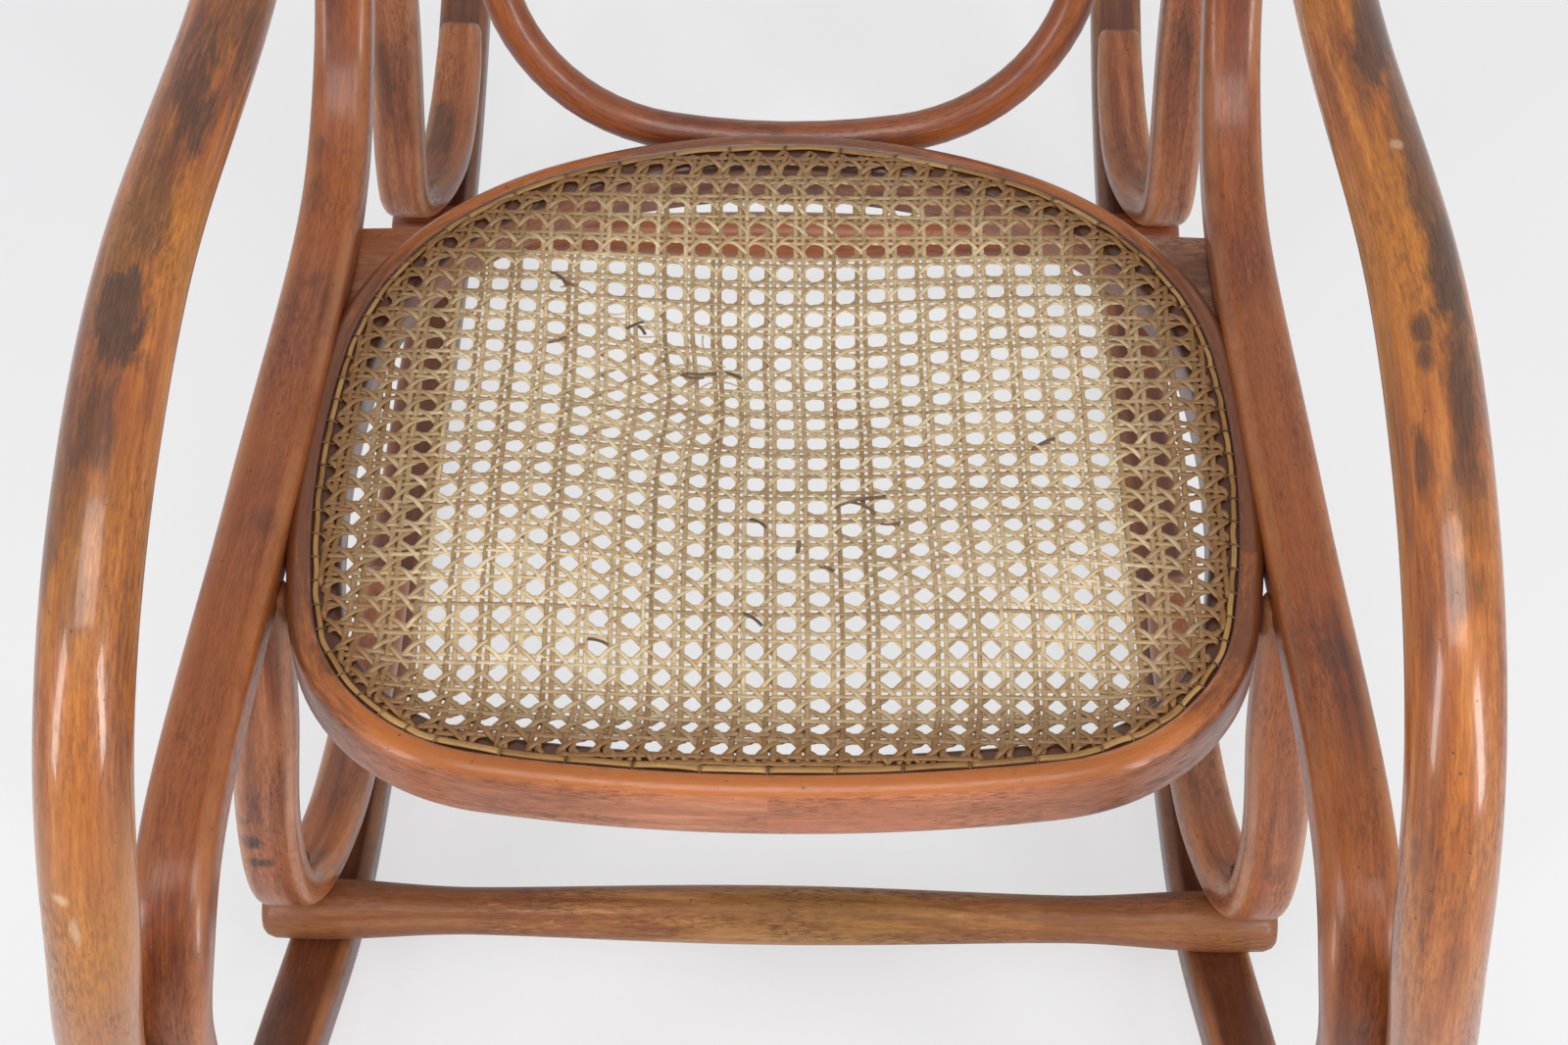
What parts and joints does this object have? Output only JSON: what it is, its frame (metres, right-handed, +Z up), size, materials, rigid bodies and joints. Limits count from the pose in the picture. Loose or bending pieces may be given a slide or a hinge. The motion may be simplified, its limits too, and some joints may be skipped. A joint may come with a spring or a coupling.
{
  "type": "bentwood rocking chair",
  "caption": "Bentwood rocking chair with round looping arms, scrolled braces on curved runners, an oval seat of woven cane and an open hooped back.",
  "frame": {"origin": "on the floor, under the middle of the chair's bounding box", "axes": "+Z up, the front of the chair faces -Y, +X to the right of someone looking at its front"},
  "size_m": [0.5694, 1.07, 1.0597],
  "materials": {
    "worn_beech": "worn orange-brown stain under old shellac, satin",
    "brown_beech": "reddish brown stain, satin",
    "cane": "split cane, straw coloured, browner at the edges",
    "screw_steel": "dark with age"
  },
  "bodies": {
    "root": {"arm_front_screws": "screw_steel", "arm_left": "worn_beech", "arm_rear_screws": "screw_steel", "arm_right": "worn_beech", "back_hoop": "worn_beech", "cane_binder": "cane", "crest_bow": "worn_beech", "crest_scarf_screws": "screw_steel", "foot_screws": "screw_steel", "front_scroll_left": "brown_beech", "front_scroll_right": "brown_beech", "front_scroll_top_screws": "screw_steel", "front_stretcher": "worn_beech", "hoop_screws": "screw_steel", "rear_scroll_left": "brown_beech", "rear_scroll_right": "brown_beech", "rear_scroll_top_screws": "screw_steel", "rear_stretcher": "brown_beech", "runner_left": "brown_beech", "runner_right": "brown_beech", "runner_scarf_screws": "screw_steel", "scroll_tail_screws": "screw_steel", "seat_block_left": "brown_beech", "seat_block_right": "brown_beech", "seat_cane_web": "cane", "seat_ring": "worn_beech", "seat_side_screws": "screw_steel", "side_frame_left": "brown_beech", "side_frame_right": "brown_beech"}
  },
  "joints": []
}
